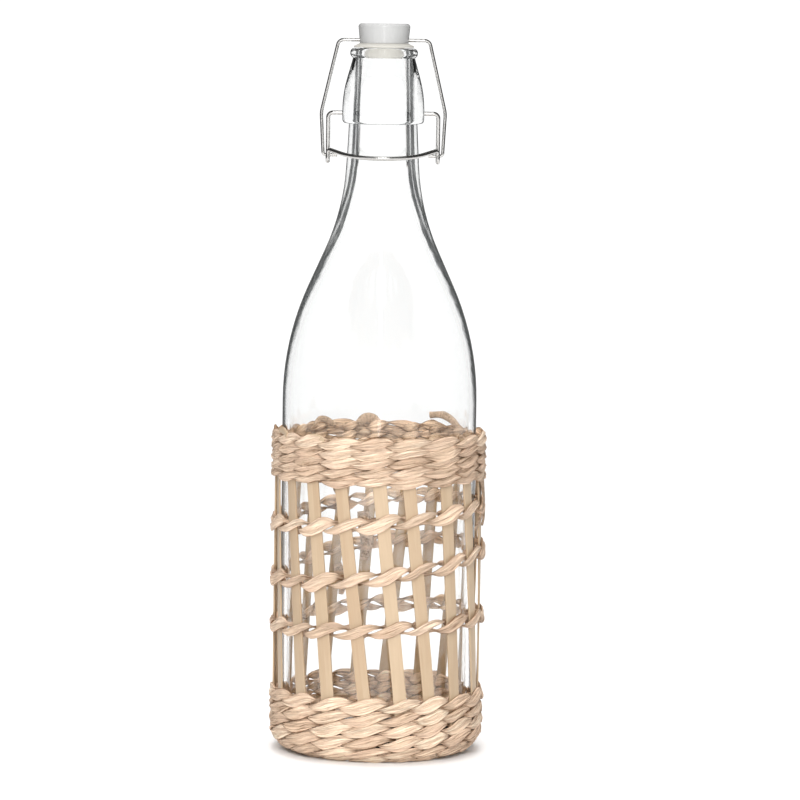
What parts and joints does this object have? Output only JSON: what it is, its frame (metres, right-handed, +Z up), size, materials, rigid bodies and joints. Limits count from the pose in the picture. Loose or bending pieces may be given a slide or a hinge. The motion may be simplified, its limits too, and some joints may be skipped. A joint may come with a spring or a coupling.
{
  "type": "basket-sleeved swing-top bottle",
  "caption": "Clear glass swing-top bottle with a wire bail closure, standing in an open-work basket sleeve of flat bamboo stakes twined with husk strands.",
  "frame": {"origin": "middle of the basket's foot, on the surface it stands on", "axes": "+Z up along the bottle's axis; -Y is the front, where the bow of the closure's lever lies; +X is to the right seen from the front"},
  "size_m": [0.0926, 0.093, 0.3134],
  "materials": {
    "clear_glass": "clear pressed glass",
    "stopper_plastic": "white, glossy",
    "gasket_rubber": "cream, satin, slightly translucent",
    "bail_steel": "plated wire",
    "lever_steel": "plated wire",
    "husk_strand": "dry flat plant husk, matt",
    "husk_mat": "dry flat plant husk, matt",
    "bamboo": "smooth split bamboo, satin"
  },
  "bodies": {
    "basket": {"base_mat": "husk_mat", "base_row_1": "husk_strand", "base_row_2": "husk_strand", "base_row_3": "husk_strand", "base_row_4": "husk_strand", "base_row_5": "husk_strand", "base_row_6": "husk_strand", "middle_row_1": "husk_strand", "middle_row_2": "husk_strand", "middle_row_3": "husk_strand", "rim_row_1": "husk_strand", "rim_row_2": "husk_strand", "rim_row_3": "husk_strand", "rim_row_4": "husk_strand", "rim_row_5": "husk_strand", "stake_01": "bamboo", "stake_02": "bamboo", "stake_03": "bamboo", "stake_04": "bamboo", "stake_05": "bamboo", "stake_06": "bamboo", "stake_07": "bamboo", "stake_08": "bamboo", "stake_09": "bamboo", "stake_10": "bamboo", "stake_11": "bamboo", "stake_12": "bamboo", "stake_13": "bamboo", "stake_14": "bamboo", "stake_15": "bamboo", "stake_16": "bamboo", "stake_17": "bamboo", "stake_18": "bamboo"},
    "bottle": {"glass_bottle": "clear_glass"},
    "lever": {"lever_wire": "lever_steel"},
    "bail": {"bail_wire": "bail_steel"},
    "stopper": {"stopper": "stopper_plastic", "gasket": "gasket_rubber"}
  },
  "joints": [
    {"name": "bottle_lift", "type": "slide", "parent": "basket", "child": "bottle", "axis": [0, 0, 1], "range_m": [0, 0.15]},
    {"name": "lever_swing", "type": "hinge", "parent": "bottle", "child": "lever", "pos_m": [0, 0, 0.2751], "axis": [-1, 0, 0], "range_deg": [0, 98]},
    {"name": "bail_swing", "type": "hinge", "parent": "lever", "child": "bail", "pos_m": [0, 0.0006, 0.257], "axis": [-1, 0, 0], "range_deg": [-63, 0]},
    {"name": "stopper_tilt", "type": "hinge", "parent": "bail", "child": "stopper", "pos_m": [0, 0, 0.3063], "axis": [-1, 0, 0], "range_deg": [-37, 0]}
  ],
  "couplings": [
    {"joint": "bail_swing", "follows": "lever_swing", "ratio": -0.633},
    {"joint": "stopper_tilt", "follows": "lever_swing", "ratio": -0.367}
  ]
}
